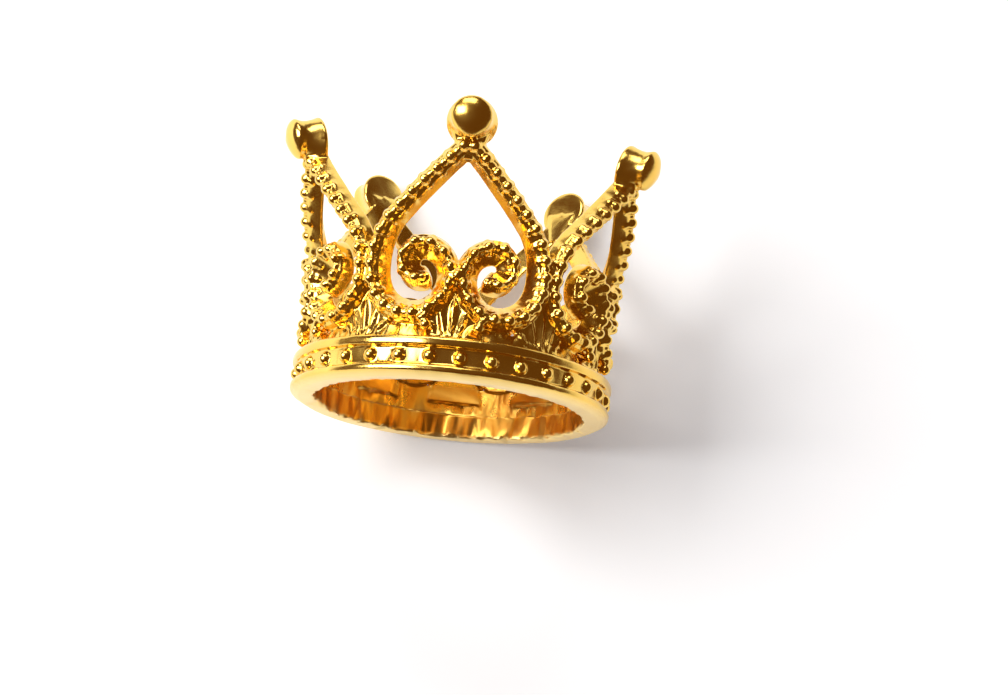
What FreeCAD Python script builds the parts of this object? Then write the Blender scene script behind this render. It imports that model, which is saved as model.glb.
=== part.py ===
import FreeCAD, Part
import math
import os

# A miniature crown, cast in one piece in metal and gold plated.
# A flat ring carries a beaded band. Five pointed arches stand on it, each made of two ribs that
# curl into scrolls and meet on the arch's middle line. Every arch ends in a spool with a domed face,
# and ridged leaf fans fill the corners between the curls and the band.
# Millimetres. Z is the crown's axis and z = 0 is the flat underside that it stands on.
# The middle of the first arch faces -Y. Angles go round from there towards +X.

SIZES = [
    ("band_outer_radius", 14.0, "outside of both rims"),
    ("band_hole_radius", 11.76, "open hole through the band"),
    ("band_hole_length", 2.15, "underside to the ledge inside the band"),
    ("band_height", 3.5, "underside to the top of the upper rim"),
    ("collar_lift", 1.1, "thin wall behind the fans' feet, over the band"),
    ("collar_outer_inset", 1.3, "collar's outside inside the band's outside"),
    ("collar_wall", 0.5, "thickness of the collar over the ledge"),
    ("lower_rim_height", 0.95, "plain rim under the groove"),
    ("upper_rim_height", 0.85, "plain rim over the groove"),
    ("groove_depth", 0.5, "from the rims in to the groove's floor"),
    ("lower_rim_slope", 0.45, "height of the underside's outer slope"),
    ("lower_rim_slope_width", 0.8, "width of the underside's outer slope"),
    ("upper_rim_chamfer", 0.25, "worn outer edge of the band's top"),
    ("band_bead_count", 32, "round beads in the groove"),
    ("band_bead_radius", 0.58, "one bead in the groove"),
    ("band_bead_turn", 4.2, "first bead's angle round from the first arch's middle"),
    ("arch_count", 5, "arches round the crown"),
    ("wall_face_inset", 0.25, "front of the ribs inside the band's outside, where the flare starts"),
    ("wall_depth", 1.75, "ribs, front to back, along the radius"),
    ("flare_lift", 1.0, "height over the band where the wall stands upright"),
    ("flare_radius", 83.0, "the wall's outward curve seen from the side"),
    ("apex_height", 20.4, "middle lines of two ribs meet at the point"),
    ("foot_lift", 2.0, "middle line of the arch's lowest bend over the band"),
    ("side_inset", 0.58, "middle line of the arch's widest bend inside the plane between two arches"),
    ("crossing_inset", 0.56, "middle line of a rib beside the arch's middle, where the two ribs touch"),
    ("shoulder_radius", 6.6, "bend from the straight run to upright"),
    ("lobe_radius", 4.0, "outer bottom corner of the arch"),
    ("scroll_rise_radius", 2.75, "scroll, from the middle to its top"),
    ("scroll_fall_radius", 1.7, "scroll, from its top to its side"),
    ("scroll_curl_radius", 1.55, "scroll, its inner curl"),
    ("scroll_curl_angle", 110.0, "turn of the inner curl"),
    ("rib_half_width", 0.72, "half of the rib along the arch"),
    ("scroll_half_width", 0.6, "half of the rib in the scroll"),
    ("rib_bead_pitch", 1.62, "one bead of a rib's front to the next"),
    ("rib_bead_relief", 0.25, "gap between two beads behind their fronts"),
    ("rib_bead_waist", 0.8, "front's width between two beads over its width at a bead"),
    ("finial_rise", 1.85, "finial's middle over the apex"),
    ("finial_offset", 0.9, "finial's middle outside the wall's middle"),
    ("finial_tilt", 14.0, "finial's face turns down by this angle"),
    ("finial_edge_radius", 1.8, "edge of the domed face"),
    ("finial_waist_radius", 1.65, "narrowest part of the spool"),
    ("finial_back_radius", 2.1, "flat back face"),
    ("finial_front_length", 1.1, "waist to the domed face's edge"),
    ("finial_back_length", 1.3, "waist to the flat back"),
    ("finial_dome_height", 0.8, "dome over its edge"),
    ("finial_dome_flat", 0.45, "radius of the dome's flat middle"),
    ("fan_recess", 0.55, "valleys of a fan behind the ribs' front"),
    ("fan_ridge", 0.4, "ridges of a fan over its valleys"),
    ("fan_back_inset", 0.3, "fan's back in front of the ribs' back"),
    ("fan_root", 0.4, "depth that a fan goes down into the band"),
    ("middle_fan_half_width", 2.9, "half of the fan under the scrolls, at the band"),
    ("middle_fan_height", 4.4, "fan under the scrolls, over the band"),
    ("corner_fan_half_width", 3.0, "half of the fan between two arches, at the band"),
    ("corner_fan_height", 4.2, "fan between two arches, over the band"),
]

# Facets round a bead of the band and round a finial. Small round forms are faceted to keep the part light.
BEAD_SIDES = 6
FINIAL_SIDES = 12
# Start of a rib beyond the arch's middle line, in rib half widths. The middle plane trims it.
APEX_LEAD = 1.5

doc = FreeCAD.newDocument("crown")
sheet = doc.addObject("Spreadsheet::Sheet", "sizes")
for row, (alias, value, note) in enumerate(SIZES, start=1):
    sheet.set("A%d" % row, alias)
    sheet.set("B%d" % row, str(value))
    sheet.set("C%d" % row, note)
    sheet.setAlias("B%d" % row, alias)
doc.recompute()


def size(alias):
    """The value of one named cell."""
    return float(sheet.get(alias))


def bind(obj, **expressions):
    """Binds properties of an object to the sheet."""
    for name, text in expressions.items():
        obj.setExpression(name, text)
    return obj


def cylinder(name, radius, height):
    return bind(doc.addObject("Part::Cylinder", name), Radius=radius, Height=height)


def place(obj, x, y, z):
    """Binds an object's place to the sheet."""
    obj.setExpression("Placement.Base.x", x)
    obj.setExpression("Placement.Base.y", y)
    obj.setExpression("Placement.Base.z", z)
    return obj


def closed_shell(name, facets):
    """An object whose solid is a closed shell of flat facets, each a list of points."""
    faces = [Part.Face(Part.makePolygon(points + points[:1])) for points in facets]
    solid = Part.Solid(Part.Shell(faces))
    if solid.Volume < 0:
        solid.reverse()
    obj = doc.addObject("Part::Feature", name)
    obj.Shape = solid
    return obj


def faceted_turning(name, profile, sides):
    """A turned form with flat sides round the Z axis, from a profile of (height, radius)."""
    rings = []
    for height, radius in profile:
        rings.append([FreeCAD.Vector(radius * math.cos(2.0 * math.pi * k / sides),
                                     radius * math.sin(2.0 * math.pi * k / sides), height)
                      for k in range(sides)])
    facets = [rings[0], rings[-1]]
    for low, high in zip(rings, rings[1:]):
        for k in range(sides):
            after = (k + 1) % sides
            facets.append([low[k], low[after], high[after], high[k]])
    return closed_shell(name, facets)


def cone_at(name, radius_low, radius_high, length, height):
    cone = doc.addObject("Part::Cone", name)
    bind(cone, Radius1=radius_low, Radius2=radius_high, Height=length)
    return place(cone, "0", "0", height)


# Band: a groove between two rims

def make_band():
    outer = "sizes.band_outer_radius"
    low_edge = "sizes.lower_rim_slope"
    high_edge = "sizes.upper_rim_chamfer"
    top = "sizes.band_height"
    foot = cone_at("band_foot", outer + " - sizes.lower_rim_slope_width", outer, low_edge, "0")
    lower = cylinder("lower_rim", outer, "sizes.lower_rim_height - " + low_edge)
    place(lower, "0", "0", low_edge)
    core = cylinder("groove_floor", outer + " - sizes.groove_depth", top)
    upper = cylinder("upper_rim", outer, "sizes.upper_rim_height - " + high_edge)
    place(upper, "0", "0", top + " - sizes.upper_rim_height")
    crest = cone_at("band_crest", outer, outer + " - " + high_edge, high_edge, top + " - " + high_edge)
    collar_radius = outer + " - sizes.collar_outer_inset"
    collar_top = top + " + sizes.collar_lift"
    collar = cylinder("collar", collar_radius, collar_top)
    body = doc.addObject("Part::MultiFuse", "band_outside")
    body.Shapes = [foot, lower, core, upper, crest, collar]
    hole = cylinder("band_hole", "sizes.band_hole_radius", collar_top)
    recess_length = "%s - sizes.band_hole_length" % collar_top
    recess = cylinder("band_recess", "%s - sizes.collar_wall" % collar_radius, recess_length)
    place(recess, "0", "0", "sizes.band_hole_length")
    space = doc.addObject("Part::MultiFuse", "band_space")
    space.Shapes = [hole, recess]
    band = doc.addObject("Part::Cut", "band")
    band.Base = body
    band.Tool = space
    return band


def make_band_beads():
    """Round beads, sunk in the groove's floor, evenly spaced."""
    count = int(size("band_bead_count"))
    radius = size("band_bead_radius")
    profile = [(-0.5 * radius, radius), (0.8 * radius, 0.62 * radius)]
    circle = "(sizes.band_outer_radius - sizes.groove_depth)"
    middle = "(sizes.lower_rim_height + sizes.band_height - sizes.upper_rim_height) / 2"
    beads = []
    for index in range(count):
        bead = faceted_turning("band_bead_%02d" % (index + 1), profile, BEAD_SIDES)
        turn = size("band_bead_turn") + 360.0 * index / count
        outward = FreeCAD.Rotation(FreeCAD.Vector(0, 0, 1), turn)
        bead.Placement.Rotation = outward * FreeCAD.Rotation(FreeCAD.Vector(1, 0, 0), 90.0)
        angle = "(sizes.band_bead_turn + %d * 360 / sizes.band_bead_count) * 1 deg" % index
        beads.append(place(bead, "%s * sin(%s)" % (circle, angle), "-%s * cos(%s)" % (circle, angle), middle))
    return beads


# Wall: a ring that flares outward in a gentle arc

def wall_face_radius():
    """Radius of the ribs' front where the flare starts."""
    return size("band_outer_radius") - size("wall_face_inset")


def wall_radius(height, behind_face=0.0):
    """Radius of the flared wall at a height, at a depth behind the ribs' front face."""
    rise = height - size("band_height") - size("flare_lift")
    return wall_face_radius() + rise ** 2 / (2.0 * size("flare_radius")) - behind_face


def wall_point(arc, height, behind_face=0.0):
    """Point of the wall: arc is a length along the front face, measured round from an arch's middle."""
    turn = arc / wall_face_radius()
    radius = wall_radius(height, behind_face)
    return FreeCAD.Vector(radius * math.sin(turn), -radius * math.cos(turn), height)


def half_pitch():
    """Half of the angle between two arches, in degrees."""
    return 180.0 / size("arch_count")


def trimming_wedge():
    """The space over half an arch, from its middle plane to the plane between two arches."""
    axis = FreeCAD.Vector(0, 0, 1)
    reach = size("band_outer_radius") + size("apex_height")
    wedge = Part.makeCylinder(reach, reach, FreeCAD.Vector(0, 0, 0), axis, half_pitch())
    wedge.rotate(FreeCAD.Vector(0, 0, 0), axis, -90.0)
    return wedge


# Rib: one curl, drawn on the flattened wall as a straight run and tangent arcs

def widest_arc():
    """Arc of the rib's middle line at its widest bend."""
    return wall_face_radius() * math.radians(half_pitch()) - size("side_inset")


def slope():
    """Length and fall of the straight run, which leaves the apex and touches the shoulder's bend."""
    radius = size("shoulder_radius")
    level = size("band_height") + size("foot_lift") + size("lobe_radius")
    across = widest_arc() - radius
    down = size("apex_height") - level
    reach = math.hypot(across, down)
    fall = math.atan2(down, across) - math.asin(radius / reach)
    return math.sqrt(reach ** 2 - radius ** 2), math.degrees(fall)


def rib_runs():
    """Round stretches of a rib as (radius, turn in degrees), from the apex to the inner curl."""
    lobe = size("lobe_radius")
    return [
        (size("shoulder_radius"), 90.0 - slope()[1]),
        (lobe, 90.0),
        (widest_arc() - lobe - size("crossing_inset"), 90.0),
        (size("scroll_rise_radius"), 90.0),
        (size("scroll_fall_radius"), 90.0),
        (size("scroll_curl_radius"), size("scroll_curl_angle")),
    ]


def rib_half_width(turned):
    """Half width of a rib after it has turned by an angle: it narrows on its way up the middle."""
    start = 180.0 - slope()[1]
    part = min(max((turned - start) / 90.0, 0.0), 1.0)
    return size("rib_half_width") + part * (size("scroll_half_width") - size("rib_half_width"))


def rib_spot(along):
    """Spot of the rib's middle line at a length from the apex, as (arc, height, fall, turned).

    Fall is the heading below level, and turned is how far the rib has turned there, in degrees.
    """
    slope_length, slope_fall = slope()
    fall = math.radians(slope_fall)
    straight = min(along, slope_length)
    arc = straight * math.cos(fall)
    height = size("apex_height") - straight * math.sin(fall)
    left = along - straight
    turned = 0.0
    for radius, turn in rib_runs():
        part = min(left / (radius * math.radians(turn)), 1.0)
        centre = (arc - radius * math.sin(fall), height - radius * math.cos(fall))
        fall += math.radians(turn) * part
        arc = centre[0] + radius * math.sin(fall)
        height = centre[1] + radius * math.cos(fall)
        turned += turn * part
        left -= radius * math.radians(turn) * part
    return arc, height, fall, turned


def rib_section(along, on_bead):
    """Four corners of a rib: outer and inner front, inner and outer back."""
    arc, height, fall, turned = rib_spot(along)
    half = rib_half_width(turned)
    front = half if on_bead else half * size("rib_bead_waist")
    relief = 0.0 if on_bead else size("rib_bead_relief")
    corners = []
    for side, depth in ((front, relief), (-front, relief), (-half, size("wall_depth")), (half, size("wall_depth"))):
        corners.append(wall_point(arc + side * math.sin(fall), height + side * math.cos(fall), depth))
    return corners


def rib_facets():
    """Facets of one rib, with a section at each bead and at each gap between two beads."""
    length = slope()[0] + sum(radius * math.radians(turn) for radius, turn in rib_runs())
    steps = 2 * round(length / size("rib_bead_pitch"))
    sections = [rib_section(-APEX_LEAD * size("rib_half_width"), False)]
    for step in range(1, steps + 1):
        sections.append(rib_section(length * step / steps, step % 2 == 1))
    facets = []
    for end in (sections[0], sections[-1]):
        facets += [[end[0], end[1], end[2]], [end[0], end[2], end[3]]]
    for one, two in zip(sections, sections[1:]):
        for k in range(4):
            after = (k + 1) % 4
            facets += [[one[k], one[after], two[after]], [one[k], two[after], two[k]]]
    return facets


def make_half_arch():
    """One rib, trimmed to its half of the arch, and its mirror image."""
    rib = closed_shell("rib", rib_facets())
    half = doc.addObject("Part::Feature", "half_arch")
    half.Shape = rib.Shape.common(trimming_wedge())
    mirror = doc.addObject("Part::Mirroring", "other_half_arch")
    mirror.Source = half
    mirror.Normal = FreeCAD.Vector(1, 0, 0)
    return [half, mirror]


# Finial: a spool with a flat back and a domed face

def make_finial():
    edge = size("finial_edge_radius")
    front = size("finial_front_length")
    dome = size("finial_dome_height")
    profile = [
        (-size("finial_back_length"), size("finial_back_radius")),
        (0.0, size("finial_waist_radius")),
        (front, edge),
        (front + 0.62 * dome, 0.68 * edge),
        (front + dome, size("finial_dome_flat")),
    ]
    finial = faceted_turning("finial", profile, FINIAL_SIDES)
    flare = "(sizes.apex_height - sizes.band_height - sizes.flare_lift)^2 / (2 * sizes.flare_radius)"
    face = "sizes.band_outer_radius - sizes.wall_face_inset"
    circle = "%s + %s - sizes.wall_depth / 2 + sizes.finial_offset" % (face, flare)
    place(finial, "0", "-(%s)" % circle, "sizes.apex_height + sizes.finial_rise")
    finial.Placement.Rotation = FreeCAD.Rotation(FreeCAD.Vector(1, 0, 0), 90.0)
    finial.setExpression("Placement.Rotation.Axis.x", "1")
    finial.setExpression("Placement.Rotation.Angle", "90 deg + sizes.finial_tilt * 1 deg")
    return finial


# Leaf fan: a ridged plate that spreads up from the band

def fan_rim(half_width, height, ridges):
    """Upper rim of a fan as (arc, height over the band, lift): ridges and valleys by turns."""
    steps = 2 * ridges
    rim = []
    for step in range(steps + 1):
        angle = math.pi * step / steps
        lift = size("fan_ridge") if step % 2 else 0.0
        reach = math.sin(angle) ** 1.5
        rim.append((-half_width * math.cos(angle), height * reach, lift))
    return rim


def make_fan(name, half_width, height, ridges, turn):
    """A fan as a closed shell of flat facets, with its middle at an angle round from the arch's middle."""
    foot = size("band_height") - size("fan_root")
    base = size("band_height")
    recess = size("fan_recess")
    back_depth = size("wall_depth") - size("fan_back_inset")
    rim = fan_rim(half_width, height, ridges)
    front = [wall_point(arc, base + rise, recess - lift) for arc, rise, lift in rim]
    back = [wall_point(arc, base + rise, back_depth) for arc, rise, lift in rim]
    root_front = [wall_point(arc, foot, recess) for arc in (-half_width, half_width)]
    root_back = [wall_point(arc, foot, back_depth) for arc in (-half_width, half_width)]
    heart_front = wall_point(0.0, base, recess)
    heart_back = wall_point(0.0, base, back_depth)
    loop_front = [root_front[0]] + front + [root_front[1]]
    loop_back = [root_back[0]] + back + [root_back[1]]
    facets = []
    for index in range(len(loop_front)):
        after = (index + 1) % len(loop_front)
        facets.append([heart_front, loop_front[index], loop_front[after]])
        facets.append([heart_back, loop_back[after], loop_back[index]])
        facets.append([loop_front[index], loop_back[index], loop_back[after]])
        facets.append([loop_front[index], loop_back[after], loop_front[after]])
    fan = closed_shell(name, facets)
    fan.Placement = FreeCAD.Placement(FreeCAD.Vector(), FreeCAD.Rotation(FreeCAD.Vector(0, 0, 1), turn))
    return fan


def make_arches():
    """One arch with its fans and finial, copied round the crown."""
    pieces = make_half_arch() + [
        make_finial(),
        make_fan("middle_fan", size("middle_fan_half_width"), size("middle_fan_height"), 5, 0.0),
        make_fan("corner_fan", size("corner_fan_half_width"), size("corner_fan_height"), 5, half_pitch()),
    ]
    first = doc.addObject("Part::MultiFuse", "arch")
    first.Shapes = pieces
    count = int(size("arch_count"))
    arches = []
    for index in range(count):
        arch = doc.addObject("Part::Compound", "arch_%d" % (index + 1))
        arch.Links = [first]
        turn = FreeCAD.Rotation(FreeCAD.Vector(0, 0, 1), 360.0 * index / count)
        arch.Placement = FreeCAD.Placement(FreeCAD.Vector(), turn)
        arches.append(arch)
    return arches


def make_crown():
    crown = doc.addObject("Part::MultiFuse", "crown")
    crown.Label = "crown"
    crown.Shapes = [make_band()] + make_band_beads() + make_arches()
    return crown


def check(objects):
    """Stops with a plain message where an object failed or a sub-part has no valid shape."""
    for obj in doc.Objects:
        if "Invalid" in obj.State or "Error" in obj.State:
            raise RuntimeError("object %s failed: %s" % (obj.Name, obj.State))
    for obj in objects:
        if obj.Shape.isNull() or not obj.Shape.isValid():
            raise RuntimeError("sub-part %s has no valid shape" % obj.Label)


sub_parts = [make_crown()]
doc.recompute()
check(sub_parts)
os.makedirs("parts", exist_ok=True)
for sub_part in sub_parts:
    sub_part.Shape.exportStep("parts/%s.step" % sub_part.Label)
    print(sub_part.Label, len(sub_part.Shape.Solids), "solid", round(sub_part.Shape.Volume, 1), "mm3",
          sub_part.Shape.BoundBox)
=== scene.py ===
import math
import bpy
import numpy as np
from mathutils import Matrix, Vector, noise


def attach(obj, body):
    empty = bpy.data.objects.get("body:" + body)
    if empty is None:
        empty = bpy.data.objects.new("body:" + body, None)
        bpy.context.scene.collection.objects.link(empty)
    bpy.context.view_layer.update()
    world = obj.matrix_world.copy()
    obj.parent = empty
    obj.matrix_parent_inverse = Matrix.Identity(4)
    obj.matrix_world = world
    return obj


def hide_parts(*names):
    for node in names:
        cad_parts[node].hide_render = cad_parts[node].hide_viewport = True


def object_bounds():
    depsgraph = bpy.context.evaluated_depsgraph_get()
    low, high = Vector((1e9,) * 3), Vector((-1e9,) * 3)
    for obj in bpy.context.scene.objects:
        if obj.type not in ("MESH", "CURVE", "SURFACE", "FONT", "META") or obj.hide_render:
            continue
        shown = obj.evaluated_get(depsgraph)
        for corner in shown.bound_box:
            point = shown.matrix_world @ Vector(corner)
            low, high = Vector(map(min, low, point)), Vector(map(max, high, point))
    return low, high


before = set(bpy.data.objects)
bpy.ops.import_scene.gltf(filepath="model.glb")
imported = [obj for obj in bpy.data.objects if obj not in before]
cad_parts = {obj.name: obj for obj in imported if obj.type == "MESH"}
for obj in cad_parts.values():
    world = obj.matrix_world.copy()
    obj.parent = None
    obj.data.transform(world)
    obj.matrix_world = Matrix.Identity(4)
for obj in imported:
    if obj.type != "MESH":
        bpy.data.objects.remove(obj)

# The miniature crown as it looks: one bright gold skin over the whole casting.
# The mesh is worked out in millimetres and scaled to metres at the end. Z is the crown's axis,
# z = 0 is its flat underside, and the middle of the first arch faces -Y.

MM = 0.001
CAD_LOW, CAD_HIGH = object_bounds()

# Band: the groove's heights, the slope under its outer edge as (width, height), the ledge in its bore,
# and the collar over it as (inner radius, outer radius)
BAND_OUTER = 14.0
BAND_HOLE = 11.76
BAND_HEIGHT = 3.5
GROOVE = (0.95, 2.65)
GROOVE_DEPTH = 0.5
SLOPE_EDGE = (0.8, 0.45)
LEDGE = 2.15
COLLAR = (12.2, 12.7)
COLLAR_FOOT = 0.4
COLLAR_TOP = 4.6
BAND_STEPS = 360
BAND_BEADS = 32
BAND_BEAD = 0.58
BEAD_TURN = math.radians(4.2)

# Wall that the arches stand in: radius of the ribs' front, and the height where its flare starts
WALL_FACE = 13.75
WALL_DEPTH = 1.75
FLARE_START = 4.5
FLARE_RADIUS = 83.0
ARCHES = 5
PITCH = 2.0 * math.pi / ARCHES

# Middle line of a rib: a straight run from the apex, then tangent arcs as (radius, turn in degrees).
# The rib is narrower in the scroll, after the turn given in degrees.
APEX = 20.4
SLOPE = math.radians(45.5)
SLOPE_LENGTH = 8.8
RUNS = [(6.6, 44.5), (4.0, 90.0), (3.5, 90.0), (2.75, 90.0), (1.7, 90.0), (1.55, 110.0)]
APEX_LEAD = 0.9
NARROWS_FROM = 134.5
RIB_HALF = 0.72
SCROLL_HALF = 0.6

# Section of a rib as (depth, half width). Its back gets broader inside the bends, from one turn over
# a range of turn in degrees. Its end is rounded in steps of one swing in degrees.
RIB_FRONT = [(0.42, 0.34), (0.52, 0.6), (0.74, 0.72)]
RIB_BACK = [(1.62, 1.04), (1.78, 0.98)]
BROAD_BACK = 1.34
BROAD_FROM = 46.0
BROAD_OVER = 40.0
END_STEPS = 4
END_SWING = 22.0

# Beads of a rib: half sizes along the rib, across it and outward. A flute leans from the rib's edge to
# a large bead: half sizes towards the bead, along the rib and outward, then its place across the rib,
# and the depths that it leans from and to.
BEAD_PITCH = 1.43
BEAD_DEPTH = 0.34
FIRST_BEAD = 0.62
LARGE_BEAD = (0.53, 0.56, 0.58)
SMALL_BEAD = (0.25, 0.38, 0.3)
FLUTE = (0.36, 0.34, 0.22)
FLUTE_OFF = 0.56
FLUTE_DEPTH = (0.62, 0.3)

# Leaf fans as (half width, height). Their foot is inside the band, and their leaves lean back.
MIDDLE_FAN = (2.6, 4.3)
CORNER_FAN = (2.7, 4.3)
FAN_FOOT = 0.25
FAN_DEPTH = 0.78
FAN_LEAN = 0.34
LEAF_HALF = 0.72
LEAF_PITCH = 0.42
LEAF_ROWS = 10

# Lumps between the lobes as (arc, height, depth), direction and half sizes: two on each side and one
# in the middle
SIDE_LUMPS = [((2.35, 4.55, 0.35), (1.0, 0.0, 0.0), (0.5, 0.5, 0.5)),
              ((2.6, 5.2, 0.3), (1.0, 0.0, 0.6), (0.6, 0.34, 0.4))]
MIDDLE_LUMP = ((0.0, 8.95, 0.25), (1.0, 0.0, 0.0), (0.42, 0.5, 0.45))

# Finial, along its own axis from the flat back to the dome: (place, radius). Each one sits a little
# lower or higher, and its dome is slightly pointed below.
FINIAL_RISE = 1.95
FINIAL_DROPS = (0.0, 0.2, 0.4, 0.4, 0.25)
FINIAL_OFFSET = 0.9
FINIAL_TILT = math.radians(14.0)
FINIAL_SAG = 0.2
FINIAL_PROFILE = [(-1.3, 0.0), (-1.3, 2.0), (-1.2, 2.16), (-1.0, 2.2), (-0.6, 1.98), (0.0, 1.76),
                  (0.5, 1.7), (0.85, 1.76), (1.05, 1.79), (1.18, 1.74), (1.42, 1.5), (1.62, 1.18),
                  (1.78, 0.78), (1.86, 0.38), (1.88, 0.0)]

DOME_FROM = 0.4
DOME_POINTED = 1.7
FINIAL_SEGMENTS = 64

# Neck under a finial: rise over the apex, half width, front depth and back depth
NECK = [(-1.5, 0.7, 0.8, 1.95), (-0.9, 0.95, 0.5, 1.95), (-0.2, 1.25, 0.45, 1.95), (0.5, 1.5, 0.35, 1.9),
        (1.2, 1.75, 0.35, 1.75)]
NECK_SEGMENTS = 16
NECK_SQUARE = 0.6

# Cast surface: height of its unevenness, of the rough collar, of the folds inside and of the notches
UNEVEN = (0.05, 0.015)
COLLAR_ROUGH = 0.22
FOLD = 0.2
NOTCH = 0.9
NOTCH_FROM = 0.12

VOXEL = 0.095
TRIANGLES = 190000


# Closed shells, each a pair of vertices and faces

def face_radius(height):
    """Radius of the ribs' front at a height."""
    return WALL_FACE + (height - FLARE_START) ** 2 / (2.0 * FLARE_RADIUS)


def on_wall(arc, height, depth):
    """A point of the wall: arc is a length round the front, depth goes in from the ribs' front."""
    turn = arc / WALL_FACE
    radius = face_radius(height) - depth
    return Vector((radius * math.sin(turn), -radius * math.cos(turn), height))


def skin(rings, close_ends=True):
    """A closed shell from rings of points with the same count."""
    count = len(rings[0])
    points = [p for ring in rings for p in ring]
    faces = []
    for row in range(len(rings) - 1):
        for k in range(count):
            after = (k + 1) % count
            low, high = row * count, (row + 1) * count
            faces.append((low + k, low + after, high + after, high + k))
    if close_ends:
        faces.append(tuple(reversed(range(count))))
        faces.append(tuple(range((len(rings) - 1) * count, len(rings) * count)))
    return points, faces


def ball(centre, along, across, radii, segments=14, rows=9):
    """An ellipsoid with its first axis along a direction and its second across it."""
    along = along.normalized()
    out = along.cross(across).normalized()
    across = out.cross(along)
    points, faces = [], []
    for row in range(1, rows):
        polar = math.pi * row / rows
        for k in range(segments):
            turn = 2.0 * math.pi * k / segments
            points.append(centre + along * (radii[0] * math.cos(polar))
                          + across * (radii[1] * math.sin(polar) * math.cos(turn))
                          + out * (radii[2] * math.sin(polar) * math.sin(turn)))
    for row in range(rows - 2):
        for k in range(segments):
            after = (k + 1) % segments
            low, high = row * segments, (row + 1) * segments
            faces.append((low + k, high + k, high + after, low + after))
    points += [centre + along * radii[0], centre - along * radii[0]]
    top, bottom = len(points) - 2, len(points) - 1
    last = (rows - 2) * segments
    for k in range(segments):
        after = (k + 1) % segments
        faces.append((top, k, after))
        faces.append((bottom, last + after, last + k))
    return points, faces


# Ribs

def rib_stations(step=0.12):
    """Middle line of a rib as (length, arc, height, fall, half width), closely spaced."""
    stations = []
    count = int((APEX_LEAD + SLOPE_LENGTH) / step)
    for k in range(count + 1):
        along = -APEX_LEAD + (APEX_LEAD + SLOPE_LENGTH) * k / count
        stations.append((along, along * math.cos(SLOPE), APEX - along * math.sin(SLOPE), SLOPE, RIB_HALF))
    length, arc, height, fall, _ = stations[-1]
    turned_by = 0.0
    for radius, turn in RUNS:
        angle = math.radians(turn)
        centre = (arc - radius * math.sin(fall), height - radius * math.cos(fall))
        count = max(3, int(radius * angle / step))
        for k in range(1, count + 1):
            part = k / count
            now = fall + angle * part
            narrow = min(max((turned_by + turn * part - NARROWS_FROM) / 90.0, 0.0), 1.0)
            half = RIB_HALF + narrow * (SCROLL_HALF - RIB_HALF)
            stations.append((length + radius * angle * part, centre[0] + radius * math.sin(now),
                             centre[1] + radius * math.cos(now), now, half))
        length, arc, height, fall, _ = stations[-1]
        turned_by += turn
    return stations


def on_rib(arc, height, fall, side, across, depth, ahead=0.0):
    """A point beside a rib's middle line: across goes to the rib's outer side, ahead goes along it."""
    return on_wall(side * (arc + across * math.sin(fall) + ahead * math.cos(fall)),
                   height + across * math.cos(fall) - ahead * math.sin(fall), depth)


def rib_section(arc, height, fall, half, side):
    """One section of a rib, pointing at the axis. Its back is broader on the inner side of the bends."""
    size = half / RIB_HALF
    bend = min(max((math.degrees(fall) - BROAD_FROM) / BROAD_OVER, 0.0), 1.0)
    inner = (1.0 + (BROAD_BACK - 1.0) * bend) * min(1.0, half / SCROLL_HALF)
    outline = [(size * width, depth) for depth, width in RIB_FRONT + RIB_BACK]
    outline += [(-inner * width, depth) for depth, width in reversed(RIB_BACK)]
    outline += [(-size * width, depth) for depth, width in reversed(RIB_FRONT)]
    return [on_rib(arc, height, fall, side, across, depth) for across, depth in outline]


def rib_body(side):
    """The plain metal of one rib, behind its beads, with a rounded end."""
    stations = rib_stations()
    rings = [rib_section(arc, height, fall, half, side) for _, arc, height, fall, half in stations]
    _, arc, height, fall, half = stations[-1]
    for k in range(1, END_STEPS + 1):
        swing = math.radians(END_SWING * k)
        ahead = half * math.sin(swing)
        rings.append(rib_section(arc + ahead * math.cos(fall), height - ahead * math.sin(fall), fall,
                                 half * math.cos(swing), side))
    return skin(rings)


def rib_beads(side):
    """A row of round beads on a rib's front, large and small by turns. Each large one has two flutes."""
    stations = rib_stations(0.03)
    shells = []
    along = FIRST_BEAD
    large = True
    while along < stations[-1][0] + 0.1:
        _, arc, height, fall, half = min(stations, key=lambda s: abs(s[0] - along))
        size = half / RIB_HALF
        centre = on_rib(arc, height, fall, side, 0.0, BEAD_DEPTH)
        ahead = on_rib(arc, height, fall, side, 0.0, BEAD_DEPTH, 0.1) - centre
        across = on_rib(arc, height, fall, side, 0.1, BEAD_DEPTH) - centre
        radii = LARGE_BEAD if large else SMALL_BEAD
        shells.append(ball(centre, ahead, across, (radii[0], radii[1] * size, radii[2])))
        if large:
            for off in (FLUTE_OFF * size, -FLUTE_OFF * size):
                spot = on_rib(arc, height, fall, side, off, FLUTE_DEPTH[0])
                top = on_rib(arc, height, fall, side, 0.5 * off, FLUTE_DEPTH[1])
                shells.append(ball(spot, top - spot, ahead, FLUTE))
        along += BEAD_PITCH / 2.0
        large = not large
    return shells


# Leaf fans

def petal(low, high, width):
    """One leaf of a fan from a low to a high spot, as (arc, height): a folded blade that leans back."""
    slope = math.atan2(high[0] - low[0], high[1] - low[1])
    rings = []
    for k in range(LEAF_ROWS + 1):
        part = k / LEAF_ROWS
        arc = low[0] + (high[0] - low[0]) * part
        height = low[1] + (high[1] - low[1]) * part
        tip = math.sqrt(max(0.01, 1.0 - max(0.0, (part - 0.6) / 0.4) ** 2))
        swell = width * (0.4 + 0.8 * part) * tip
        valley = FAN_DEPTH + FAN_LEAN * part + 0.24
        fold = valley - (0.34 + 0.2 * part) * (0.3 + 0.7 * tip)
        ring = [on_wall(arc + across * math.cos(slope), height - across * math.sin(slope), depth)
                for across, depth in ((-swell, valley), (0.0, fold), (swell, valley), (0.0, valley + 0.3))]
        rings.append(ring)
    return skin(rings)


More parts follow.
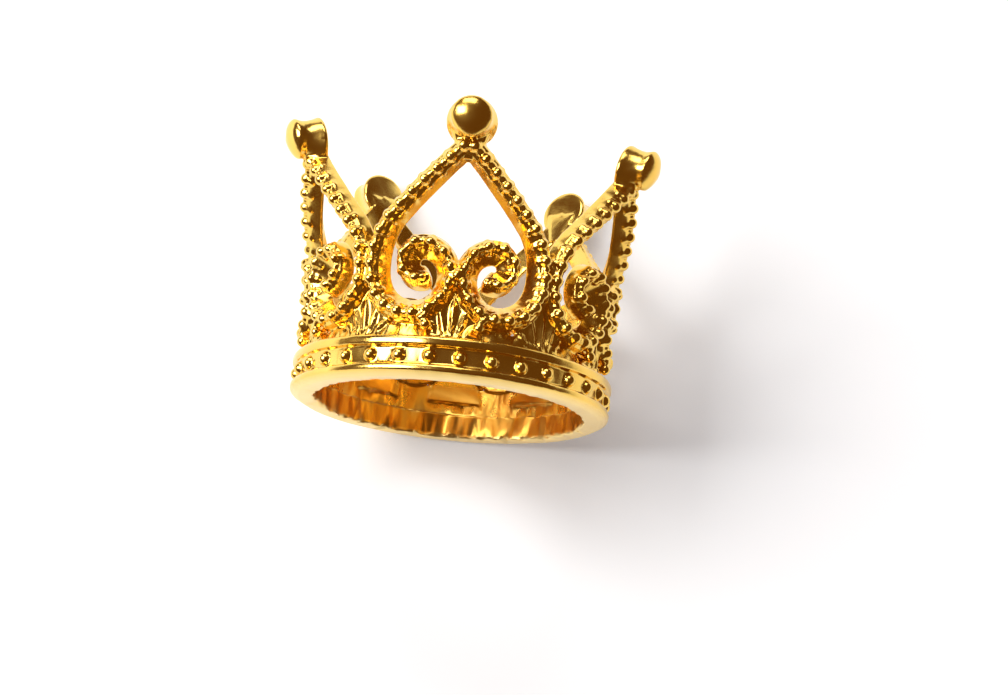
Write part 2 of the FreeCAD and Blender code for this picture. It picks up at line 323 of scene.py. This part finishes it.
def fan(middle, half_width, height):
    """A fan of five leaves with a plain plate behind them."""
    base = BAND_HEIGHT - FAN_FOOT
    shells = []
    for k in range(-2, 3):
        lean = k / 2.0
        low = (middle + LEAF_PITCH * k, base)
        high = (middle + half_width * 0.95 * math.sin(lean * 1.3), base + height * (1.0 - 0.55 * lean ** 2))
        shells.append(petal(low, high, LEAF_HALF))
    rim = [(middle - half_width, base)]
    for k in range(13):
        swing = math.pi * k / 12
        level = base + 0.2 + (height - 0.7) * math.sin(swing) ** 1.5
        rim.append((middle - half_width * math.cos(swing), level))
    rim.append((middle + half_width, base))
    rings = [[on_wall(arc, level, depth) for arc, level in rim] for depth in (1.0, WALL_DEPTH - 0.1)]
    shells.append(skin(rings))
    return shells


# Finial

def finial(drop):
    """The spool at an arch's point, lowered by a drop, with its neck down to the ribs."""
    radius = face_radius(APEX) - WALL_DEPTH / 2.0 + FINIAL_OFFSET
    place = Matrix.Translation(Vector((0.0, -radius, APEX + FINIAL_RISE - drop)))
    place = place @ Matrix.Rotation(math.pi / 2.0 + FINIAL_TILT, 4, "X")
    rings = []
    for level, size in FINIAL_PROFILE:
        size = max(size, 0.001)
        pointed = DOME_POINTED if level > DOME_FROM else 2.0
        sag = FINIAL_SAG * (level - 1.0)
        ring = []
        for k in range(FINIAL_SEGMENTS):
            turn = 2.0 * math.pi * k / FINIAL_SEGMENTS
            across, up = math.cos(turn), math.sin(turn)
            if up < 0.0:
                scale = (abs(across) ** pointed + abs(up) ** pointed) ** (-1.0 / pointed)
                across, up = across * scale, up * scale
            ring.append(place @ Vector((size * across, size * up + sag, level)))
        rings.append(ring)
    shells = [skin(rings)]
    neck = []
    for rise, half, front, back in NECK:
        ring = []
        for k in range(NECK_SEGMENTS):
            turn = 2.0 * math.pi * k / NECK_SEGMENTS
            across = math.copysign(abs(math.cos(turn)) ** NECK_SQUARE, math.cos(turn)) * half
            deep = math.copysign(abs(math.sin(turn)) ** NECK_SQUARE, math.sin(turn)) * (back - front) / 2.0
            ring.append(on_wall(across, APEX + rise, (front + back) / 2.0 + deep))
        neck.append(ring)
    shells.append(skin(neck))
    return shells


def lump(side, spot, direction, radii):
    """A small lump of metal on the ribs' front: spot is (arc, height, depth), and side mirrors it."""
    arc, height, depth = spot
    return ball(on_wall(side * arc, height, depth), Vector(direction), Vector((0, 0, 1)), radii)


def arch(drop):
    """All closed shells of one arch, in the place of the first one."""
    shells = []
    for side in (1.0, -1.0):
        shells.append(rib_body(side))
        shells += rib_beads(side)
        shells += [lump(side, *shape) for shape in SIDE_LUMPS]
    shells.append(lump(1.0, *MIDDLE_LUMP))
    shells += finial(drop)
    shells += fan(0.0, *MIDDLE_FAN)
    shells += fan(WALL_FACE * PITCH / 2.0, *CORNER_FAN)
    return shells


# Band

def band_profile():
    """Section of the band as (radius, height), round its outline."""
    low, high = GROOVE
    floor = BAND_OUTER - GROOVE_DEPTH
    width, rise = SLOPE_EDGE
    return [(BAND_HOLE + 0.05, 0.06), (BAND_HOLE + 0.14, 0.0), (BAND_OUTER - width, 0.0),
            (BAND_OUTER - 0.04, rise - 0.02), (BAND_OUTER, rise + 0.06), (BAND_OUTER, low - 0.12),
            (BAND_OUTER - 0.08, low), (floor + 0.06, low + 0.06), (floor, low + 0.2), (floor, high - 0.2),
            (floor + 0.06, high - 0.06), (BAND_OUTER - 0.08, high), (BAND_OUTER, high + 0.14),
            (BAND_OUTER, BAND_HEIGHT - 0.28), (BAND_OUTER - 0.1, BAND_HEIGHT - 0.08),
            (BAND_OUTER - 0.28, BAND_HEIGHT), (COLLAR[1] + COLLAR_FOOT, BAND_HEIGHT),
            (COLLAR[1], COLLAR_TOP), (COLLAR[0], COLLAR_TOP), (COLLAR[0], LEDGE + 0.02),
            (BAND_HOLE + 0.06, LEDGE), (BAND_HOLE, LEDGE - 0.08), (BAND_HOLE, 0.3)]


def band():
    """The ring, with the beads in its groove."""
    profile = band_profile()
    count = BAND_STEPS
    rings = []
    for k in range(count):
        turn = 2.0 * math.pi * k / count
        rings.append([Vector((r * math.sin(turn), -r * math.cos(turn), z)) for r, z in profile])
    points, faces = skin(rings, close_ends=False)
    size = len(profile)
    for j in range(size):
        after = (j + 1) % size
        faces.append(((count - 1) * size + j, (count - 1) * size + after, after, j))
    shells = [(points, faces)]
    height = sum(GROOVE) / 2.0
    for k in range(BAND_BEADS):
        turn = BEAD_TURN + 2.0 * math.pi * k / BAND_BEADS
        centre = Vector((math.sin(turn), -math.cos(turn), 0.0)) * (BAND_OUTER - GROOVE_DEPTH)
        centre.z = height
        shells.append(ball(centre, Vector((0, 0, 1)), Vector((math.cos(turn), math.sin(turn), 0)),
                           (BAND_BEAD,) * 3, 20, 12))
    return shells


# One skin over all shells

def join(shells):
    """One list of points and faces from many shells."""
    points, faces = [], []
    for some, corners in shells:
        start = len(points)
        points += some
        faces += [tuple(start + k for k in face) for face in corners]
    return points, faces


def with_modifier(obj, kind, **settings):
    """Applies one modifier to an object's mesh."""
    modifier = obj.modifiers.new(kind.lower(), kind)
    for name, value in settings.items():
        setattr(modifier, name, value)
    graph = bpy.context.evaluated_depsgraph_get()
    mesh = bpy.data.meshes.new_from_object(obj.evaluated_get(graph))
    obj.modifiers.clear()
    obj.data = mesh
    return obj


def cast_surface(points):
    """Moves the skin as casting leaves it: uneven, folded inside the band, notched at its rear edge."""
    moved = points.copy()
    for k, (x, y, z) in enumerate(points):
        here = Vector((x, y, z))
        uneven = noise.noise_vector(here * 0.35) * UNEVEN[0] + noise.noise_vector(here * 1.3) * UNEVEN[1]
        moved[k] += np.array(uneven)
        radius = math.hypot(x, y)
        on_collar = COLLAR[0] + 0.2 < radius < COLLAR[1] + COLLAR_FOOT
        if on_collar and BAND_HEIGHT + 0.1 < z < COLLAR_TOP:
            rough = COLLAR_ROUGH * noise.noise(Vector((x * 2.2, y * 2.2, z * 2.2)))
            moved[k][0] += x / radius * rough
            moved[k][1] += y / radius * rough
        if radius < COLLAR[0] + 0.1 and z < COLLAR_TOP + 0.1:
            folds = noise.noise(Vector((x * 0.9, y * 0.9, z * 0.7)))
            folds += 0.9 * noise.noise(Vector((x * 1.9, y * 1.9, z * 1.9 + 7.0)))
            folds += 0.35 * noise.noise(Vector((x * 4.0, y * 4.0, z * 4.0 + 3.0)))
            inward = FOLD * folds * min(1.0, (COLLAR[0] + 0.1 - radius) / 0.2)
            moved[k][0] -= x / radius * inward
            moved[k][1] -= y / radius * inward
            edge = max(0.0, 1.0 - abs(z) / 0.5) * max(0.0, 1.0 - (radius - BAND_HOLE) / 0.5)
            if y > 0.0 and edge > 0.0:
                notch = max(0.0, noise.noise(Vector((x * 1.4, y * 0.6, 3.0))) - NOTCH_FROM)
                moved[k][2] += NOTCH * notch * edge
    return moved


def make_crown():
    shells = band()
    for k, drop in enumerate(FINIAL_DROPS):
        spin = Matrix.Rotation(PITCH * k, 3, "Z")
        shells += [([spin @ p for p in points], faces) for points, faces in arch(drop)]
    points, faces = join(shells)
    mesh = bpy.data.meshes.new("crown_skin")
    mesh.from_pydata(points, [], faces)
    mesh.validate()
    crown = bpy.data.objects.new("crown_skin", mesh)
    bpy.context.scene.collection.objects.link(crown)
    with_modifier(crown, "REMESH", mode="VOXEL", voxel_size=VOXEL, adaptivity=0.0)
    with_modifier(crown, "SMOOTH", factor=0.5, iterations=2)
    count = sum(len(p.vertices) - 2 for p in crown.data.polygons)
    if count > TRIANGLES:
        with_modifier(crown, "DECIMATE", ratio=TRIANGLES / count)
    mesh = crown.data
    places = np.empty(len(mesh.vertices) * 3)
    mesh.vertices.foreach_get("co", places)
    places = cast_surface(places.reshape(-1, 3))
    low = np.array(CAD_LOW) / MM + 0.004
    high = np.array(CAD_HIGH) / MM - 0.004
    places = np.clip(places, low, high) * MM
    mesh.vertices.foreach_set("co", places.ravel())
    mesh.polygons.foreach_set("use_smooth", [True] * len(mesh.polygons))
    mesh.update()
    crown.data.materials.clear()
    crown.data.materials.append(gold_plate())
    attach(crown, "root")
    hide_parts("crown")
    return crown


# Materials

PLATE_LIGHT = (0.97, 0.66, 0.16, 1.0)
PLATE_DEEP = (0.94, 0.59, 0.11, 1.0)
# Deeper colour on the band's inner wall: painted shade
PLATE_INSIDE_SHADE = (0.84, 0.46, 0.08, 1.0)
# Paler colour underneath: partly wear, partly a painted reflection of the white table
PLATE_UNDER_WEAR_AND_REFLECTION = (0.98, 0.74, 0.31, 1.0)


def fresh_material(name):
    material = bpy.data.materials.new(name)
    material.use_nodes = True
    material.node_tree.nodes.clear()
    return material, material.node_tree.nodes, material.node_tree.links


def noise_texture(nodes, links, where, scale, detail):
    """Noise over object coordinates, with its size on the node's own socket."""
    texture = nodes.new("ShaderNodeTexNoise")
    texture.inputs["Scale"].default_value = scale
    texture.inputs["Detail"].default_value = detail
    links.new(where, texture.inputs["Vector"])
    return texture.outputs["Fac"]


def ramp(nodes, links, value, low, high, from_value, to_value):
    """Maps a value from one range to another, held at both ends."""
    node = nodes.new("ShaderNodeMapRange")
    ends = (("From Min", low), ("From Max", high), ("To Min", from_value), ("To Max", to_value))
    for name, number in ends:
        node.inputs[name].default_value = number
    links.new(value, node.inputs["Value"])
    return node.outputs["Result"]


def mixed_colour(nodes, links, amount, first, second):
    """Colour between two others, each a colour or a socket."""
    node = nodes.new("ShaderNodeMix")
    node.data_type = "RGBA"
    links.new(amount, node.inputs["Factor"])
    for name, colour in (("A", first), ("B", second)):
        socket = next(s for s in node.inputs if s.name == name and s.type == "RGBA")
        if isinstance(colour, tuple):
            socket.default_value = colour
        else:
            links.new(colour, socket)
    return next(s for s in node.outputs if s.type == "RGBA")


def math_node(nodes, links, operation, first, second):
    """One sum or product of two values, each a number or a socket."""
    node = nodes.new("ShaderNodeMath")
    node.operation = operation
    for socket, value in zip(node.inputs, (first, second)):
        if isinstance(value, (int, float)):
            socket.default_value = value
        else:
            links.new(value, socket)
    return node.outputs["Value"]


def gold_plate():
    """Bright gold plate: uneven in tone, with painted shade on the band's inner wall, where it is also
    rougher, and worn and scratched underneath, where its paler colour is partly wear and partly a painted
    reflection.
    """
    material, nodes, links = fresh_material("gold_plate")
    out = nodes.new("ShaderNodeOutputMaterial")
    shader = nodes.new("ShaderNodeBsdfPrincipled")
    shader.inputs["Metallic"].default_value = 1.0
    where = nodes.new("ShaderNodeTexCoord").outputs["Object"]
    parts = nodes.new("ShaderNodeSeparateXYZ")
    links.new(where, parts.inputs["Vector"])
    flat = nodes.new("ShaderNodeCombineXYZ")
    links.new(parts.outputs["X"], flat.inputs["X"])
    links.new(parts.outputs["Y"], flat.inputs["Y"])
    length = nodes.new("ShaderNodeVectorMath")
    length.operation = "LENGTH"
    links.new(flat.outputs["Vector"], length.inputs[0])
    radius = length.outputs["Value"]

    # Mask of the band's inner wall below the collar's top, less the underside: painted shade in colour
    # there, and more roughness
    inside = ramp(nodes, links, radius, (COLLAR[0] - 0.1) * MM, (COLLAR[0] + 0.25) * MM, 1.0, 0.0)
    low_down = ramp(nodes, links, parts.outputs["Z"], COLLAR_TOP * MM, (COLLAR_TOP + 0.3) * MM, 1.0, 0.0)
    # Mask of the underside: scratches and more roughness for wear, and a paler colour that is partly wear
    # and partly painted reflection
    underneath = ramp(nodes, links, parts.outputs["Z"], 0.1 * MM, 0.45 * MM, 1.0, 0.0)
    inner = math_node(nodes, links, "MULTIPLY", inside, low_down)
    inner = math_node(nodes, links, "SUBTRACT", inner, underneath)
    inner = math_node(nodes, links, "MAXIMUM", inner, 0.0)

    cloudy = noise_texture(nodes, links, where, 160.0, 3.0)
    deeper = ramp(nodes, links, cloudy, 0.35, 0.65, 0.0, 1.0)
    tone = mixed_colour(nodes, links, deeper, PLATE_LIGHT, PLATE_DEEP)
    # Painted shade: a deeper colour on the band's inner wall
    tone = mixed_colour(nodes, links, inner, tone, PLATE_INSIDE_SHADE)
    # Paler underside colour: partly wear, partly painted reflection
    tone = mixed_colour(nodes, links, underneath, tone, PLATE_UNDER_WEAR_AND_REFLECTION)
    links.new(tone, shader.inputs["Base Color"])

    gloss = ramp(nodes, links, noise_texture(nodes, links, where, 420.0, 2.0), 0.3, 0.7, 0.16, 0.24)
    gloss = math_node(nodes, links, "ADD", gloss, math_node(nodes, links, "MULTIPLY", inner, 0.12))
    gloss = math_node(nodes, links, "ADD", gloss, math_node(nodes, links, "MULTIPLY", underneath, 0.16))
    links.new(gloss, shader.inputs["Roughness"])

    streaks = nodes.new("ShaderNodeMapping")
    streaks.inputs["Rotation"].default_value = (0.0, 0.0, 0.5)
    streaks.inputs["Scale"].default_value = (0.12, 1.0, 1.0)
    links.new(where, streaks.inputs["Vector"])
    scratches = noise_texture(nodes, links, streaks.outputs["Vector"], 3500.0, 2.0)
    scratches = math_node(nodes, links, "MULTIPLY", scratches, underneath)
    grain = noise_texture(nodes, links, where, 900.0, 4.0)
    relief = math_node(nodes, links, "ADD", grain, scratches)
    bump = nodes.new("ShaderNodeBump")
    bump.inputs["Strength"].default_value = 0.14
    bump.inputs["Distance"].default_value = 0.1 * MM
    links.new(relief, bump.inputs["Height"])
    links.new(bump.outputs["Normal"], shader.inputs["Normal"])
    links.new(shader.outputs["BSDF"], out.inputs["Surface"])
    return material


# Stage: the crown lies on a white table in the photograph, so the table stands upright behind it here

TABLE_Y = 14.2 * MM
TABLE_SEEN = 0.27


def see_through_from_behind(nodes, links, shader, out):
    """Shows a shader on a surface's front and nothing on its back."""
    side = nodes.new("ShaderNodeNewGeometry")
    clear = nodes.new("ShaderNodeBsdfTransparent")
    choose = nodes.new("ShaderNodeMixShader")
    links.new(side.outputs["Backfacing"], choose.inputs["Fac"])
    links.new(shader.outputs[0], choose.inputs[1])
    links.new(clear.outputs["BSDF"], choose.inputs[2])
    links.new(choose.outputs["Shader"], out.inputs["Surface"])


def table_white():
    """White paper that keeps the soft shadow, with a little light of its own for camera and gloss."""
    material, nodes, links = fresh_material("table_white")
    out = nodes.new("ShaderNodeOutputMaterial")
    paper = nodes.new("ShaderNodeBsdfDiffuse")
    paper.inputs["Color"].default_value = (0.9, 0.9, 0.9, 1.0)
    seen = nodes.new("ShaderNodeEmission")
    seen.inputs["Color"].default_value = (0.85, 0.97, 1.12, 1.0)
    path = nodes.new("ShaderNodeLightPath")
    reflected = math_node(nodes, links, "MAXIMUM", path.outputs["Is Glossy Ray"],
                          path.outputs["Is Transmission Ray"])
    looked_at = math_node(nodes, links, "MAXIMUM", path.outputs["Is Camera Ray"], reflected)
    faint = math_node(nodes, links, "MULTIPLY", looked_at, TABLE_SEEN)
    links.new(faint, seen.inputs["Strength"])
    lit = nodes.new("ShaderNodeAddShader")
    links.new(paper.outputs["BSDF"], lit.inputs[0])
    links.new(seen.outputs["Emission"], lit.inputs[1])
    see_through_from_behind(nodes, links, lit, out)
    return material


def floor_pale():
    """Pale paper under the crown, shown to a camera above it and to nothing else."""
    material, nodes, links = fresh_material("floor_pale")
    out = nodes.new("ShaderNodeOutputMaterial")
    paper = nodes.new("ShaderNodeBsdfDiffuse")
    paper.inputs["Color"].default_value = (0.9, 0.9, 0.9, 1.0)
    seen = nodes.new("ShaderNodeEmission")
    seen.inputs["Color"].default_value = (1.0, 1.0, 1.0, 1.0)
    seen.inputs["Strength"].default_value = TABLE_SEEN
    lit = nodes.new("ShaderNodeAddShader")
    links.new(paper.outputs["BSDF"], lit.inputs[0])
    links.new(seen.outputs["Emission"], lit.inputs[1])
    clear = nodes.new("ShaderNodeBsdfTransparent")
    path = nodes.new("ShaderNodeLightPath")
    camera_only = nodes.new("ShaderNodeMixShader")
    links.new(path.outputs["Is Camera Ray"], camera_only.inputs["Fac"])
    links.new(clear.outputs["BSDF"], camera_only.inputs[1])
    links.new(lit.outputs["Shader"], camera_only.inputs[2])
    see_through_from_behind(nodes, links, camera_only, out)
    return material


def sheet(name, corners, place, material):
    """A flat stage surface."""
    mesh = bpy.data.meshes.new(name)
    mesh.from_pydata(corners, [], [(0, 1, 2, 3)])
    mesh.materials.append(material)
    obj = bpy.data.objects.new(name, mesh)
    obj.location = place
    bpy.context.scene.collection.objects.link(obj)
    return obj


def make_table():
    half = 1.2
    sheet("table", [(-half, 0.0, -half), (half, 0.0, -half), (half, 0.0, half), (-half, 0.0, half)],
          (0.0, TABLE_Y, 0.0), table_white())
    sheet("floor", [(-half, -half, 0.0), (half, -half, 0.0), (half, TABLE_Y, 0.0), (-half, TABLE_Y, 0.0)],
          (0.0, 0.0, -0.02 * MM), floor_pale())


def make_world():
    world = bpy.data.worlds.new("studio")
    bpy.context.scene.world = world
    world.use_nodes = True
    nodes, links = world.node_tree.nodes, world.node_tree.links
    nodes.clear()
    out = nodes.new("ShaderNodeOutputWorld")
    seen = nodes.new("ShaderNodeBackground")
    seen.inputs["Color"].default_value = (1.0, 1.0, 1.0, 1.0)
    seen.inputs["Strength"].default_value = 1.0
    room = nodes.new("ShaderNodeBackground")
    room.inputs["Color"].default_value = (0.12, 0.056, 0.014, 1.0)
    room.inputs["Strength"].default_value = 1.0
    path = nodes.new("ShaderNodeLightPath")
    mix = nodes.new("ShaderNodeMixShader")
    links.new(path.outputs["Is Camera Ray"], mix.inputs["Fac"])
    links.new(room.outputs["Background"], mix.inputs[1])
    links.new(seen.outputs["Background"], mix.inputs[2])
    links.new(mix.outputs["Shader"], out.inputs["Surface"])


def lamp(name, place, size, energy):
    """A soft square lamp that looks at the crown."""
    data = bpy.data.lights.new(name, "AREA")
    data.shape = "RECTANGLE"
    data.size, data.size_y = size
    data.energy = energy
    obj = bpy.data.objects.new(name, data)
    obj.location = Vector(place)
    aim = Vector((0.0, 0.0, 0.012)) - obj.location
    obj.rotation_mode = "QUATERNION"
    obj.rotation_quaternion = aim.to_track_quat("-Z", "Y")
    bpy.context.scene.collection.objects.link(obj)
    return obj


def make_lamps():
    lamp("key", (-0.46, -0.50, 0.07), (0.42, 0.36), 4.8)
    lamp("top", (-0.12, -0.36, 0.48), (0.46, 0.30), 1.7)


# Camera: found from the band's circles, its beads and the five finials

CAMERA_AZIMUTH = math.radians(1.13)
CAMERA_ELEVATION = math.radians(-12.82)
CAMERA_ROLL = math.radians(5.61)
CAMERA_DISTANCE = 313.4 * MM
CAMERA_TARGET = Vector((4.277, 0.0, 6.143)) * MM
FOCAL_PIXELS = 3571.0
PHOTO_WIDTH = 1008


def make_camera():
    data = bpy.data.cameras.new("camera")
    data.sensor_width = 36.0
    data.lens = 36.0 * FOCAL_PIXELS / PHOTO_WIDTH
    data.clip_start, data.clip_end = 0.01, 10.0
    camera = bpy.data.objects.new("camera", data)
    az, el = CAMERA_AZIMUTH, CAMERA_ELEVATION
    back = Vector((math.sin(az) * math.cos(el), -math.cos(az) * math.cos(el), math.sin(el)))
    camera.location = CAMERA_TARGET + back * CAMERA_DISTANCE
    right = (-back).cross(Vector((0, 0, 1))).normalized()
    up = right.cross(-back)
    side = right * math.cos(CAMERA_ROLL) + up * math.sin(CAMERA_ROLL)
    top = up * math.cos(CAMERA_ROLL) - right * math.sin(CAMERA_ROLL)
    camera.rotation_mode = "QUATERNION"
    camera.rotation_quaternion = Matrix((side, top, back)).transposed().to_quaternion()
    bpy.context.scene.collection.objects.link(camera)
    bpy.context.scene.camera = camera


make_crown()
make_table()
make_world()
make_lamps()
make_camera()
bpy.context.scene.view_settings.view_transform = "Standard"
